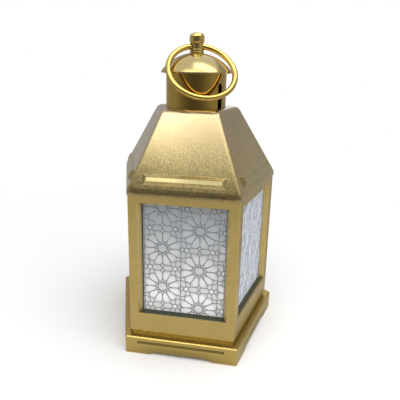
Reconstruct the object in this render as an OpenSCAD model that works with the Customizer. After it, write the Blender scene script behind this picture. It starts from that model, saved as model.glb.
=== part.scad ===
// Small five-sided lantern: an arched plinth, a cage of posts with patterned panes, a
// pyramid roof with a raised bar on each slope, a slotted chimney, a domed cap with a
// turned knob, and a wire ring that swings through the knob's neck. Inside stand a hollow
// candle with a lamp in its top, a circuit board, a coin cell and a slide switch.
// Millimetres. +Z is up, the origin is on the axis at the feet, and the front side faces -Y.

/* [Body] */
// Length of one side of the body
body_side = 36; // [30:0.5:48]
// Height of the body, from the shadow joint to the roof
body_h = 49.8; // [42:0.1:70]
// Wall of the body frame
body_wall = 2.2; // [1.6:0.1:3]
// Flat width of a post on each side of a corner
post_w = 2.9; // [2:0.1:5]
// Height of the rail under each window
sill_h = 6.7; // [6.2:0.1:10]
// Height of the rail over each window
head_h = 2.5; // [2.4:0.1:5]
// How far each window narrows from the outer face to the pane
reveal = 1; // [0.4:0.1:1.4]
// How far the foot of each window rises from the outer face to the pane
sill_rise = 0.6; // [0.2:0.1:1.2]
// Radius of the upright corner edges
edge_round = 0.6; // [0.3:0.1:1]
// Thickness of a pane
pane_t = 0.8; // [0.5:0.1:1.2]

/* [Plinth] */
// How far the plinth stands out past the body
plinth_step = 1.9; // [1.2:0.1:4]
// Height of the plinth
plinth_h = 6.5; // [5.6:0.1:10]
// Wall of the plinth
plinth_wall = 1.6; // [1.2:0.1:2]
// Bevel along the plinth's top edge
plinth_bevel = 0.3; // [0.2:0.1:1]
// Length of a foot along each side
foot_len = 8.2; // [5:0.1:12]
// Height of the arch between two feet
foot_rise = 1.2; // [0.8:0.1:1.6]
// Length of the slope at each end of an arch
foot_slope = 1.7; // [0.6:0.1:3]
// Height of the long groove on each side
groove_h = 2; // [1:0.1:2.4]
// Depth of the long groove
groove_depth = 0.5; // [0.3:0.1:0.8]
// Distance from a corner to the end of the groove
groove_inset = 4.3; // [2:0.1:8]
// Distance from the plinth's top to the groove
groove_drop = 1.4; // [1:0.1:2]
// Height of the shadow joint between plinth and body
joint_h = 1.5; // [0.6:0.1:2]
// Depth of the shadow joint
joint_depth = 0.6; // [0.3:0.1:1]

/* [Roof] */
// How far the eave stands out past the body
eave_out = 0.3; // [0.1:0.1:1.5]
// Height of the roof, from the body to its flat top
roof_h = 26; // [20:0.2:36]
// Distance from the axis to a side of the flat top
crown_reach = 12.6; // [12.4:0.1:16]
// Height of the fold line above the roof's lower edge
fold_h = 1.3; // [1.2:0.1:3]
// Radius of the fold at the eave
fold_round = 5; // [2:0.5:6]
// Radius of the edge round the flat top
crown_round = 2.6; // [1:0.1:3]
// Radius along the ridges
ridge_round = 0.8; // [0.4:0.1:1.2]
// Wall of the roof
roof_wall = 1.8; // [1.2:0.1:2]
// Distance from the fold line up the slope to the raised bar
bar_up = 2.3; // [1.5:0.1:6]
// Width of the raised bar along the slope
bar_w = 3.7; // [2.8:0.1:5]
// Distance from the end of the bar to the corner of the eave
bar_inset = 4.9; // [4:0.1:9]
// Height of the bar above the slope
bar_t = 0.8; // [0.4:0.1:1.2]
// Width of the bevel round the bar
bar_bevel = 0.8; // [0.3:0.1:0.9]
// Width of the rim round the bar's sunk face
bar_rim = 0.2; // [0.1:0.05:0.3]
// Depth of the bar's sunk face
bar_sink = 0.2; // [0.1:0.05:0.3]

/* [Chimney and cap] */
// Diameter of the chimney
chimney_d = 21; // [18:0.2:21.4]
// Height of the chimney above the roof
chimney_h = 11.6; // [9:0.2:18]
// Wall of the chimney
chimney_wall = 1.4; // [1:0.1:2]
// Width of a slot in the chimney
slot_w = 2.1; // [1.5:0.1:4]
// Distance from the rounded end of a slot to the cap
slot_drop = 3.2; // [2.1:0.1:4]
// Angle of the first slot, from the front towards the right
slot_turn = 58; // [0:1:90]
// Number of slots
slot_count = 2; // [1:1:4]
// How far the cap stands out past the chimney
cap_out = 1.8; // [1:0.1:3]
// Height of the dome of the cap, above its rim
dome_h = 6.3; // [4.5:0.1:8]
// Height of the rim of the cap
rim_h = 0.5; // [0.3:0.1:1]
// Wall of the cap
cap_wall = 1.3; // [1:0.1:1.8]

/* [Knob and ring] */
// Diameter of the knob
knob_d = 5.1; // [4.9:0.1:6]
// Height of the knob
knob_h = 3.4; // [2.8:0.1:4.4]
// Diameter of the neck under the knob
neck_d = 4.4; // [4.2:0.1:4.8]
// Height of the neck
neck_h = 2; // [1.8:0.1:2.6]
// Diameter of the collar under the neck
collar_d = 4.9; // [4.6:0.1:5.4]
// Height of the collar
collar_h = 1.3; // [1:0.1:1.6]
// Diameter of the ring's wire
wire_d = 1.9; // [1.5:0.1:2]
// Diameter of the ring along its wire's centre
ring_d = 22.4; // [22.2:0.1:30]
// Angle by which the resting ring drops below level
ring_drop = 46.5; // [30:0.5:47]
// Direction in which the ring leans, from the front towards the right
ring_turn = 21.7; // [-60:0.1:60]

/* [Candle and lamp] */
// Diameter of the candle
candle_d = 19; // [15:0.5:24]
// Height of the candle
candle_h = 26; // [20:0.5:30]
// Wall of the candle
candle_wall = 1.3; // [1:0.1:2]
// Diameter of the flame cover
flame_d = 8.4; // [8:0.1:10]
// Height of the flame cover
flame_h = 14; // [12.4:0.1:15]
// Diameter of the lamp
lamp_d = 5; // [3:0.1:5]

/* [Cell and switch] */
// Diameter of the coin cell
cell_d = 20; // [16:0.1:20]
// Thickness of the coin cell
cell_t = 3.2; // [2.5:0.1:3.2]
// Distance from the axis back to the centre of the cell
cell_back = 5; // [4.8:0.1:5.2]
// Length of the slide switch
switch_l = 8.6; // [7:0.1:9]
// Width of the slide switch
switch_w = 3.7; // [3.4:0.1:4.2]
// Travel of the switch's button
switch_travel = 2; // [1:0.1:2.4]
// Distance from the axis forward to the centre of the switch
switch_front = 14; // [13.4:0.1:14.4]
// Thickness of the circuit board
board_t = 1; // [0.8:0.1:1.2]
// Thickness of the base plate
base_t = 1.6; // [1.2:0.1:1.8]
// Diameter of the screws in the base
screw_d = 2; // [1.6:0.1:2.2]

/* [Fits] */
// Gap between pieces that slot together
fit = 0.2; // [0.1:0.05:0.3]
// Gap round a piece that turns or slides
run = 0.1; // [0.05:0.01:0.15]

/* [Hidden] */

// The plan: a regular figure with one side facing the front
SIDES = 5;
side_turn = 360 / SIDES;
half_turn = side_turn / 2;
over = 0.5;

// Distances from the axis to the sides
body_reach = body_side / (2 * tan(half_turn));
inner_reach = body_reach - body_wall;
pane_reach = inner_reach - pane_t;
plinth_reach = body_reach + plinth_step;
eave_reach = body_reach + eave_out;
spigot_reach = inner_reach - fit;
skirt_reach = plinth_reach - plinth_wall;

// Heights
body_z = plinth_h + joint_h;
floor_rise = 4;
floor_z = body_z + floor_rise;
floor_t = 1.6;
roof_z = body_z + body_h;
fold_z = roof_z + fold_h;
crown_z = roof_z + roof_h;
cap_z = crown_z + chimney_h;
dome_z = cap_z + rim_h;
dome_top_z = dome_z + dome_h;

// The roof's slope, seen square to a side
slope_run = eave_reach - crown_reach;
slope_rise = crown_z - fold_z;
slope_tilt = atan(slope_rise / slope_run);
slope_wall_run = roof_wall / sin(slope_tilt);
lip_h = 2;
lip_wall = 1.2;
lip_reach = pane_reach - fit;
hollow_foot_z = roof_z + roof_wall;
hollow_top_z = crown_z - roof_wall;
hollow_foot = eave_reach - slope_wall_run - (hollow_foot_z - fold_z) / tan(slope_tilt);
hollow_top = eave_reach - slope_wall_run - (hollow_top_z - fold_z) / tan(slope_tilt);

// The chimney's foot and the slots
chimney_r = chimney_d / 2;
chimney_bore = chimney_r - chimney_wall;
flange_out = 0.7;
flange_t = 1.2;
flange_r = min(chimney_r + flange_out, hollow_top - fit);
cap_r = chimney_r + cap_out;
cap_plug_h = 1.8;
cap_plug_wall = 1.2;

// The dome is a cap of one sphere
dome_r = (cap_r * cap_r + dome_h * dome_h) / (2 * dome_h);
dome_centre_z = dome_top_z - dome_r;

// The knob, its neck and the hole for the ring
seat_r = collar_d / 2 + fit;
seat_z = dome_centre_z + sqrt(dome_r * dome_r - seat_r * seat_r);
knob_z = seat_z + collar_h + neck_h;
ring_z = seat_z + collar_h + neck_h / 2;
ring_r = ring_d / 2;
wire_sag = ring_r - sqrt(ring_r * ring_r - knob_d * knob_d / 4);
ring_hole_d = wire_d + 2 * wire_sag + fit;
knob_screw_d = 2;
knob_screw_head_d = 4;
knob_screw_head_h = 1.3;

// The base, from the floor up
base_z = foot_rise + 0.5 * foot_rise;
base_top = base_z + base_t;
board_gap = 1;
board_top = floor_z - floor_t - board_gap;
board_z = board_top - board_t;
cover_r = cell_d / 2 + 1.9;
cover_t = base_t;
cover_lug_t = 1;
cover_lug_out = 1.4;
cover_lug_turn = 28;
cover_turn = 35;
cover_lugs = 3;
coin_slot_l = 12;
coin_slot_w = 1.6;
coin_slot_h = 0.8;
cell_gap = 0.1;
cell_z = base_top + cell_gap;
holder_wall = 1.2;
holder_r = cell_d / 2 + fit;
holder_z = base_top + cover_lug_t + 2 * run + fit;
boss_d = 4.4;
boss_reach = 21.4;
board_boss_x = 9.6;
board_boss_y = -9.6;
board_screw_d = 1.6;
screw_head_d = 3.6;
screw_head_h = 0.9;
screw_grip = 4;

// The switch
switch_h = 3.5;
button_w = 1.5;
button_l = 1.6;
button_up = 1.6;
button_down = 0.8;

// The lamp and the flame cover
candle_top = floor_z + candle_h;
candle_lid = 1.6;
dish_h = 1;
lamp_flange_out = 0.4;
lamp_flange_t = 1;
lamp_h = 6.4;
lamp_clear = 0.2;
leg_d = 0.5;
leg_gap = 2.54;
lead_hole_d = 6;

// Points round a regular figure whose corners are rounded: reach is the distance to a side
function plan(reach, round, steps = 4) = [
    for (corner = [0 : SIDES - 1], j = [0 : steps])
        let (mid = -90 + half_turn + corner * side_turn,
             hub = (reach - round) / cos(half_turn),
             turn = mid - half_turn + side_turn * j / steps)
        [hub * cos(mid) + round * cos(turn), hub * sin(mid) + round * sin(turn)]];

// The same points at a height
function plan_at(reach, round, z) = [for (p = plan(reach, round)) [p[0], p[1], z]];

// A rectangle centred on the origin, at a height
function rect_at(w, h, z) = [
    [-w / 2, -h / 2, z], [w / 2, -h / 2, z], [w / 2, h / 2, z], [-w / 2, h / 2, z]];

// An upright rectangle at a depth, from the world heights low to high, in a frame whose
// y points down
function opening_at(half, low, high, depth) = [
    [-half, -high, depth], [half, -high, depth], [half, -low, depth], [-half, -low, depth]];

// A closed skin over rings of points that have the same count, from the lowest up
module loft(rings) {
    count = len(rings[0]);
    last = len(rings) - 1;
    polyhedron(
        points = [for (ring = rings, p = ring) p],
        faces = concat(
            [[for (i = [0 : count - 1]) i]],
            [[for (i = [count - 1 : -1 : 0]) last * count + i]],
            [for (level = [0 : last - 1], i = [0 : count - 1])
                let (a = level * count + i, b = level * count + (i + 1) % count)
                each [[a, a + count, b], [b, a + count, b + count]]]),
        convexity = 4);
}

// A straight prism of the plan between two heights
module prism(reach, low, high, round = edge_round) {
    translate([0, 0, low])
        linear_extrude(height = high - low)
            polygon(plan(reach, round));
}

// Turns its children so that the front side's form lies on side k
module on_side(k) {
    rotate([0, 0, k * side_turn])
        children();
}

// Points of an arc in a profile of [reach, z]
function arc(centre, radius, from, to, steps) = [
    for (j = [0 : steps])
        let (turn = from + (to - from) * j / steps)
        [centre[0] + radius * cos(turn), centre[1] + radius * sin(turn)]];

// The roof's profile: upright edge, fold, slope, rounded crown
fold_bend = 90 - slope_tilt;
fold_tangent = fold_round * tan(fold_bend / 2);
fold_radius = fold_tangent < fold_h ? fold_round : 0.9 * fold_h / tan(fold_bend / 2);
crown_tangent = crown_round * tan(slope_tilt / 2);
roof_profile = concat(
    [[eave_reach, roof_z]],
    arc([eave_reach - fold_radius, fold_z - fold_radius * tan(fold_bend / 2)],
        fold_radius, 0, fold_bend, 4),
    arc([crown_reach - crown_tangent, crown_z - crown_round], crown_round, fold_bend, 90, 6));

// The roof's hollow starts at the lip and follows the slope at the wall's thickness
roof_hollow = [
    [lip_reach - lip_wall, roof_z - lip_h - over],
    [lip_reach - lip_wall, roof_z + fit],
    [hollow_foot, hollow_foot_z],
    [hollow_top, hollow_top_z]];

// One raised bar with a sunk face, and with its base just inside the slope
module roof_bar() {
    slope_half = eave_reach * tan(half_turn) - bar_inset;
    bar_l = 2 * slope_half;
    seat = 0.3 * bar_t;
    rim_in = 2 * (bar_bevel + bar_rim);
    face_in = rim_in + 2 * bar_sink;
    translate([0, -eave_reach, fold_z])
        rotate([slope_tilt, 0, 0])
            translate([0, bar_up + bar_w / 2, 0])
                loft([
                    rect_at(bar_l, bar_w, -seat),
                    rect_at(bar_l, bar_w, 0),
                    rect_at(bar_l - 2 * bar_bevel, bar_w - 2 * bar_bevel, bar_t),
                    rect_at(bar_l - rim_in, bar_w - rim_in, bar_t),
                    rect_at(bar_l - face_in, bar_w - face_in, bar_t - bar_sink)]);
}

// The cutter for one window, widest at the outer face
module window_cutter() {
    half = body_reach * tan(half_turn) - post_w;
    low = body_z + sill_h;
    high = roof_z - head_h;
    grow = over * reveal / body_wall;
    foot_grow = over * sill_rise / body_wall;
    translate([0, -body_reach - over, 0])
        rotate([-90, 0, 0])
            loft([
                opening_at(half + grow, low - foot_grow, high + grow, 0),
                opening_at(half - reveal - grow, low + sill_rise + foot_grow,
                           high - reveal - grow, body_wall + 2 * over)]);
}

// The cutter that leaves a foot at each end of one side
module arch_cutter() {
    half = plinth_reach * tan(half_turn) - foot_len;
    translate([0, -plinth_reach - over, 0])
        rotate([-90, 0, 0])
            linear_extrude(height = plinth_wall + plinth_step + over)
                polygon([[-half - foot_slope * over / foot_rise, over],
                         [half + foot_slope * over / foot_rise, over],
                         [half - foot_slope, -foot_rise],
                         [-half + foot_slope, -foot_rise]]);
}

// The cutter for the long groove: level above, with a short upright back, and rounded over
// below into the plinth's face
module groove_cutter() {
    half = plinth_reach * tan(half_turn) - groove_inset;
    top = plinth_h - groove_drop;
    flank_h = 0.75 * groove_h;
    flank_round = (flank_h * flank_h + groove_depth * groove_depth) / (2 * groove_depth);
    flank_turn = asin(flank_h / flank_round);
    translate([half, -plinth_reach, top])
        rotate([90, 0, -90])
            linear_extrude(height = 2 * half)
                polygon(concat(
                    [[over, 0], [-groove_depth, 0]],
                    arc([-flank_round, -groove_h], flank_round, flank_turn, 0, 4),
                    [[over, -groove_h]]));
}

// Corner positions of the base's screw bosses
module at_corners() {
    for (k = [0 : SIDES - 1])
        rotate([0, 0, half_turn + k * side_turn])
            translate([0, -boss_reach, 0])
                children();
}

module at_board_bosses() {
    for (side = [-1, 1])
        translate([side * board_boss_x, board_boss_y, 0])
            children();
}

module plinth() {
    rib_reach = pane_reach - fit;
    rib_h = 1.2;
    rib_wall = 0.8;
    ring_h = 1;
    ring_out = candle_d / 2 - candle_wall - fit;
    ring_wall = 1;
    cavity_reach = spigot_reach - plinth_wall;
    deck_z = plinth_h - floor_t;
    color("#AC9253")
    difference() {
        union() {
            difference() {
                union() {
                    loft([
                        plan_at(plinth_reach, edge_round, 0),
                        plan_at(plinth_reach, edge_round, plinth_h - plinth_bevel),
                        plan_at(plinth_reach - plinth_bevel, edge_round, plinth_h)]);
                    prism(body_reach - joint_depth, deck_z, body_z);
                    prism(spigot_reach, deck_z, floor_z);
                }
                prism(skirt_reach, -over, deck_z);
                prism(cavity_reach, -over, floor_z - floor_t);
            }
            at_corners()
                translate([0, 0, base_top])
                    cylinder(d = boss_d, h = floor_z - floor_t / 2 - base_top, $fn = 48);
            at_board_bosses()
                translate([0, 0, board_top])
                    cylinder(d = boss_d, h = board_gap + floor_t / 2, $fn = 48);
            difference() {
                prism(rib_reach, floor_z - floor_t / 2, floor_z + rib_h);
                prism(rib_reach - rib_wall, floor_z, floor_z + rib_h + over);
            }
            translate([0, 0, floor_z])
                difference() {
                    translate([0, 0, -floor_t / 2])
                        cylinder(r = ring_out, h = ring_h + floor_t / 2, $fn = 96);
                    cylinder(r = ring_out - ring_wall, h = ring_h + over, $fn = 96);
                }
        }
        at_corners()
            translate([0, 0, base_top - over])
                cylinder(d = screw_d, h = screw_grip + over + fit, $fn = 32);
        at_board_bosses()
            translate([0, 0, board_top - over])
                cylinder(d = board_screw_d, h = board_gap + 0.5 * floor_t + over, $fn = 32);
        cylinder(d = lead_hole_d, h = floor_z + over, $fn = 48);
        for (k = [0 : SIDES - 1])
            on_side(k) {
                arch_cutter();
                groove_cutter();
            }
    }
}

module body_frame() {
    color("#AE985C")
    difference() {
        prism(body_reach, body_z, roof_z);
        prism(inner_reach, body_z - over, roof_z + over);
        for (k = [0 : SIDES - 1])
            on_side(k)
                window_cutter();
    }
}

// One pane, standing on the floor against the inside of its window
module pane(k) {
    pane_w = 2 * (pane_reach * tan(half_turn) - 2 * fit);
    pane_top = roof_z - fit;
    color("#D4D6D8")
    on_side(k)
        translate([-pane_w / 2, -inner_reach, floor_z])
            cube([pane_w, pane_t, pane_top - floor_z]);
}

module pane_front() pane(0);
module pane_front_right() pane(1);
module pane_back_right() pane(2);
module pane_back_left() pane(3);
module pane_front_left() pane(4);

module roof() {
    color("#C9B573")
    difference() {
        union() {
            loft([for (p = roof_profile) plan_at(p[0], ridge_round, p[1])]);
            for (k = [0 : SIDES - 1])
                on_side(k)
                    roof_bar();
            prism(lip_reach, roof_z - lip_h, roof_z + over);
        }
        loft([for (p = roof_hollow) plan_at(p[0], ridge_round, p[1])]);
        translate([0, 0, crown_z - 2 * roof_wall])
            cylinder(r = chimney_r + fit / 2, h = 3 * roof_wall, $fn = 96);
    }
}

module chimney() {
    flange_z = crown_z - roof_wall - flange_t;
    slot_z = cap_z - slot_drop - slot_w / 2;
    color("#9C7F3E")
    difference() {
        union() {
            translate([0, 0, flange_z])
                cylinder(r = chimney_r, h = cap_z - flange_z, $fn = 96);
            translate([0, 0, flange_z])
                cylinder(r = flange_r, h = flange_t, $fn = 96);
        }
        translate([0, 0, flange_z - over])
            cylinder(r = chimney_bore, h = cap_z - flange_z + 2 * over, $fn = 96);
        for (k = [0 : slot_count - 1])
            rotate([0, 0, slot_turn + k * 360 / slot_count]) {
                translate([-slot_w / 2, -chimney_r - over, crown_z])
                    cube([slot_w, chimney_wall + 2 * over, slot_z - crown_z]);
                translate([0, -chimney_r - over, slot_z])
                    rotate([-90, 0, 0])
                        cylinder(d = slot_w, h = chimney_wall + 2 * over, $fn = 48);
            }
    }
}

module cap() {
    inner_r = dome_r - cap_wall;
    color("#D9C47E")
    difference() {
        union() {
            intersection() {
                translate([0, 0, dome_centre_z])
                    sphere(r = dome_r, $fn = 128);
                translate([0, 0, dome_z])
                    cylinder(r = cap_r, h = dome_h + over, $fn = 128);
            }
            translate([0, 0, cap_z])
                cylinder(r = cap_r, h = rim_h, $fn = 128);
            translate([0, 0, cap_z - cap_plug_h])
                cylinder(r = chimney_bore - fit / 2, h = cap_plug_h + rim_h, $fn = 96);
        }
        translate([0, 0, seat_z])
            cylinder(r = cap_r, h = dome_h, $fn = 64);
        intersection() {
            translate([0, 0, dome_centre_z])
                sphere(r = inner_r, $fn = 128);
            translate([0, 0, cap_z])
                cylinder(r = chimney_bore - cap_plug_wall, h = dome_h + over, $fn = 96);
        }
        translate([0, 0, cap_z - cap_plug_h - over])
            cylinder(r = chimney_bore - cap_plug_wall, h = cap_plug_h + 2 * over, $fn = 96);
        translate([0, 0, cap_z])
            cylinder(d = knob_screw_d + fit, h = dome_h + over, $fn = 32);
    }
}

// The turned knob: collar, neck and a drum, rounded most round its top
module knob() {
    foot_round = 0.16 * knob_h;
    top_round = 0.46 * knob_h;
    drum_r = knob_d / 2;
    drum = concat(
        [[0, 0]],
        arc([drum_r - foot_round, foot_round], foot_round, -90, 0, 6),
        arc([drum_r - top_round, knob_h - top_round], top_round, 0, 90, 12),
        [[0, knob_h]]);
    groove = 0.15 * collar_h;
    color("#CDB04C")
    difference() {
        union() {
            translate([0, 0, knob_z])
                rotate_extrude($fn = 64)
                    polygon(drum);
            translate([0, 0, seat_z])
                cylinder(d = neck_d, h = knob_z + foot_round - seat_z, $fn = 64);
            translate([0, 0, seat_z])
                cylinder(d = collar_d, h = 0.5 * collar_h - groove / 2, $fn = 64);
            translate([0, 0, seat_z + 0.5 * collar_h + groove / 2])
                cylinder(d = collar_d, h = 0.5 * collar_h - groove / 2, $fn = 64);
        }
        rotate([0, 0, ring_turn])
            translate([-knob_d, 0, ring_z])
                rotate([0, 90, 0])
                    cylinder(d = ring_hole_d, h = 2 * knob_d, $fn = 48);
        translate([0, 0, seat_z - over])
            cylinder(d = knob_screw_d - fit, h = collar_h / 2 + over, $fn = 32);
    }
}

// The screw that holds the knob down from inside the cap
module knob_screw() {
    under_z = dome_centre_z + sqrt(pow(dome_r - cap_wall, 2) - pow(knob_screw_head_d / 2, 2));
    color("#B8B8B4")
    translate([0, 0, under_z])
        difference() {
            union() {
                cylinder(d = knob_screw_d - fit, h = seat_z + collar_h / 2 - under_z, $fn = 32);
                translate([0, 0, -knob_screw_head_h])
                    cylinder(d = knob_screw_head_d, h = knob_screw_head_h, $fn = 48);
            }
            cross_slot(knob_screw_head_d, -knob_screw_head_h);
        }
}

// A driver's cross in a screw head that faces down at height z
module cross_slot(head_d, z) {
    arm_l = 0.62 * head_d;
    arm_w = 0.16 * head_d;
    for (turn = [0, 90])
        rotate([0, 0, turn])
            translate([-arm_l / 2, -arm_w / 2, z - over])
                cube([arm_l, arm_w, over + 0.12 * head_d]);
}

module ring_handle() {
    color("#DFB54D")
    translate([0, 0, ring_z])
        rotate([0, 0, ring_turn])
            rotate([ring_drop, 0, 0])
                translate([0, -ring_r, 0])
                    rotate_extrude($fn = 128)
                        translate([ring_r, 0])
                            circle(d = wire_d, $fn = 32);
}

module candle() {
    candle_r = candle_d / 2;
    lip_r = candle_wall / 2;
    bore_r = lamp_d / 2 + fit / 2;
    lid_z = candle_h - dish_h - candle_lid;
    color("#F1E7CF")
    translate([0, 0, floor_z])
        rotate_extrude($fn = 96)
            polygon(concat(
                [[candle_r - candle_wall, 0],
                 [candle_r, 0]],
                arc([candle_r - lip_r, candle_h - lip_r], lip_r, 0, 180, 8),
                [[candle_r - 2 * candle_wall, candle_h - dish_h],
                 [bore_r, candle_h - dish_h],
                 [bore_r, lid_z],
                 [candle_r - candle_wall, lid_z]]));
}

module flame_cover() {
    foot_z = candle_top - dish_h;
    belly = flame_d / 2;
    inner = lamp_d / 2 + fit;
    lamp_top = lamp_h - candle_lid + lamp_clear;
    outer_side = [for (j = [0 : 16])
        let (t = j / 16)
        [belly * sin(180 * pow(t, 0.72) * 0.72 + 50.4) * (1 - pow(t, 3)) + belly * 0.02,
         flame_h * t]];
    color("#F6DDA0")
    translate([0, 0, foot_z])
        difference() {
            rotate_extrude($fn = 64)
                polygon(concat([[0, 0]], outer_side, [[0, flame_h]]));
            translate([0, 0, -over])
                cylinder(r = inner, h = lamp_top - inner + over, $fn = 48);
            translate([0, 0, lamp_top - inner])
                sphere(r = inner, $fn = 48);
        }
}

// The lamp hangs by its flange under the candle's lid, on two long legs
module lamp() {
    flange_top = candle_top - dish_h - candle_lid;
    leg_h = flange_top - lamp_flange_t - board_top;
    color("#F7F4E6")
    union() {
        translate([0, 0, flange_top])
            cylinder(d = lamp_d, h = lamp_h - lamp_d / 2, $fn = 48);
        translate([0, 0, flange_top + lamp_h - lamp_d / 2])
            sphere(d = lamp_d, $fn = 48);
        translate([0, 0, flange_top - lamp_flange_t])
            cylinder(r = lamp_d / 2 + lamp_flange_out, h = lamp_flange_t, $fn = 48);
        for (side = [-1, 1])
            translate([side * leg_gap / 2, 0, board_top])
                cylinder(d = leg_d, h = leg_h + lamp_flange_t / 2, $fn = 16);
    }
}

module circuit_board() {
    board_r = holder_r + holder_wall + fit;
    shoulder_w = 2 * board_boss_x + boss_d;
    shoulder_y = boss_d / 2 - board_boss_y;
    tongue_w = switch_l + 4 * fit;
    tongue_y = switch_front + switch_w / 2 + 3 * fit;
    color("#2F6B45")
    translate([0, 0, board_z])
        difference() {
            linear_extrude(height = board_t)
                union() {
                    translate([0, cell_back])
                        circle(r = board_r, $fn = 96);
                    translate([-shoulder_w / 2, -shoulder_y])
                        square([shoulder_w, shoulder_y]);
                    translate([-tongue_w / 2, -tongue_y])
                        square([tongue_w, tongue_y]);
                }
            at_board_bosses()
                translate([0, 0, -over])
                    cylinder(d = board_screw_d + fit, h = board_t + 2 * over, $fn = 32);
        }
}

module board_screws() {
    color("#B8B8B4")
    at_board_bosses()
        translate([0, 0, board_z])
            difference() {
                union() {
                    cylinder(d = board_screw_d, h = board_t + board_gap, $fn = 32);
                    translate([0, 0, -screw_head_h])
                        cylinder(d = 0.8 * screw_head_d, h = screw_head_h, $fn = 32);
                }
                cross_slot(0.8 * screw_head_d, -screw_head_h);
            }
}

module cell_holder() {
    notch_w = 4;
    color("#26282B")
    translate([0, cell_back, holder_z])
        difference() {
            cylinder(r = holder_r + holder_wall, h = board_z - holder_z, $fn = 96);
            translate([0, 0, -over])
                cylinder(r = holder_r, h = board_z - holder_z + 2 * over, $fn = 96);
            translate([holder_r - over, -notch_w / 2, -over])
                cube([holder_wall + 2 * over, notch_w, board_z - holder_z + 2 * over]);
        }
}

module coin_cell() {
    rim = 0.25 * cell_t;
    color("#C9CBCC")
    translate([0, cell_back, cell_z]) {
        cylinder(d = cell_d, h = cell_t - rim, $fn = 96);
        translate([0, 0, cell_t - rim])
            cylinder(d = cell_d - 2 * rim, h = rim, $fn = 96);
    }
}

// A strip that stands beside the cell and touches its rim
module cell_contact_side() {
    strip_w = 2.6;
    strip_t = 0.3;
    bow = fit;
    color("#D8C27A")
    translate([cell_d / 2, cell_back - strip_w / 2, 0])
        union() {
            translate([bow, 0, holder_z])
                cube([strip_t, strip_w, board_z - holder_z]);
            translate([0, 0, holder_z + strip_t])
                cube([bow + strip_t, strip_w, strip_t]);
        }
}

// A bent strip under the board that presses on the middle of the cell
module cell_contact_top() {
    strip_w = 3;
    strip_t = 0.3;
    reach = 7;
    gap = board_z - cell_z - cell_t;
    color("#D8C27A")
    translate([-strip_w / 2, cell_back - reach / 2, cell_z + cell_t])
        rotate([90, 0, 90])
            linear_extrude(height = strip_w)
                polygon([[0, gap], [0, gap - strip_t], [reach * 0.3, gap - strip_t],
                         [reach * 0.65, 0], [reach * 0.8, 0], [reach, gap * 0.45],
                         [reach - strip_t, gap * 0.45 + strip_t], [reach * 0.8 - strip_t, strip_t],
                         [reach * 0.65 + strip_t, strip_t], [reach * 0.3 + strip_t, gap]]);
}

module switch_housing() {
    pocket_l = button_l + switch_travel + 2 * run;
    pocket_w = button_w + 2 * run;
    color("#8E9092")
    translate([0, -switch_front, board_z - switch_h])
        difference() {
            translate([-switch_l / 2, -switch_w / 2, 0])
                cube([switch_l, switch_w, switch_h]);
            translate([-pocket_l / 2, -pocket_w / 2, -over])
                cube([pocket_l, pocket_w, button_up + run + over]);
        }
}

// The button at rest is at the off end of its travel
module switch_button() {
    low = base_z - button_down;
    high = board_z - switch_h + button_up;
    color("#1E1F21")
    translate([-switch_travel / 2 - button_l / 2, -switch_front - button_w / 2, low])
        cube([button_l, button_w, high - low]);
}

module base_plate() {
    notch_turn = cover_lug_turn + 4;
    slot_l = button_l + switch_travel + 2 * fit;
    slot_w = button_w + 2 * fit;
    color("#A38B50")
    difference() {
        prism(skirt_reach - fit, base_z, base_top);
        translate([0, cell_back, base_z - over]) {
            cylinder(r = cover_r + run, h = base_t + 2 * over, $fn = 96);
            for (k = [0 : cover_lugs - 1])
                rotate([0, 0, cover_turn + k * 360 / cover_lugs])
                    sector(cover_r + cover_lug_out + 2 * run, notch_turn, base_t + 2 * over);
        }
        translate([-slot_l / 2, -switch_front - slot_w / 2, base_z - over])
            cube([slot_l, slot_w, base_t + 2 * over]);
        at_corners()
            translate([0, 0, base_z - over])
                cylinder(d = screw_d + fit, h = base_t + 2 * over, $fn = 32);
    }
}

// A slice of a disc, centred on -Y
module sector(radius, turn, h) {
    far = 1.2 * radius;
    intersection() {
        cylinder(r = radius, h = h, $fn = 96);
        linear_extrude(height = h)
            polygon([[0, 0],
                     [-far * sin(turn / 2), -far * cos(turn / 2)],
                     [far * sin(turn / 2), -far * cos(turn / 2)]]);
    }
}

// The part of such a slice outside an inner radius
module ring_sector(inner, outer, turn, h) {
    difference() {
        sector(outer, turn, h);
        translate([0, 0, -over])
            cylinder(r = inner, h = h + 2 * over, $fn = 96);
    }
}

module base_screws() {
    color("#B8B8B4")
    at_corners()
        translate([0, 0, base_z])
            difference() {
                union() {
                    cylinder(d = screw_d, h = base_t + screw_grip, $fn = 32);
                    translate([0, 0, -screw_head_h])
                        cylinder(d = screw_head_d, h = screw_head_h, $fn = 32);
                }
                cross_slot(screw_head_d, -screw_head_h);
            }
}

// A round cover held by lugs above the base plate: a coin in its slot turns it to the notches
module battery_cover() {
    riser_r = cover_r - 2 * run;
    color("#A38B50")
    translate([0, cell_back, base_z])
        difference() {
            union() {
                cylinder(r = cover_r, h = cover_t, $fn = 96);
                for (k = [0 : cover_lugs - 1])
                    rotate([0, 0, k * 360 / cover_lugs]) {
                        translate([0, 0, cover_t / 2])
                            ring_sector(holder_r, riser_r, cover_lug_turn,
                                        cover_t / 2 + run + cover_lug_t);
                        translate([0, 0, cover_t + run])
                            ring_sector(holder_r, cover_r + cover_lug_out, cover_lug_turn,
                                        cover_lug_t);
                    }
            }
            translate([-coin_slot_l / 2, -coin_slot_w / 2, -over])
                cube([coin_slot_l, coin_slot_w, coin_slot_h + over]);
        }
}

plinth();
body_frame();
pane_front();
pane_front_right();
pane_back_right();
pane_back_left();
pane_front_left();
roof();
chimney();
cap();
knob();
knob_screw();
ring_handle();
candle();
flame_cover();
lamp();
circuit_board();
board_screws();
cell_holder();
coin_cell();
cell_contact_side();
cell_contact_top();
switch_housing();
switch_button();
base_plate();
base_screws();
battery_cover();
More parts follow.
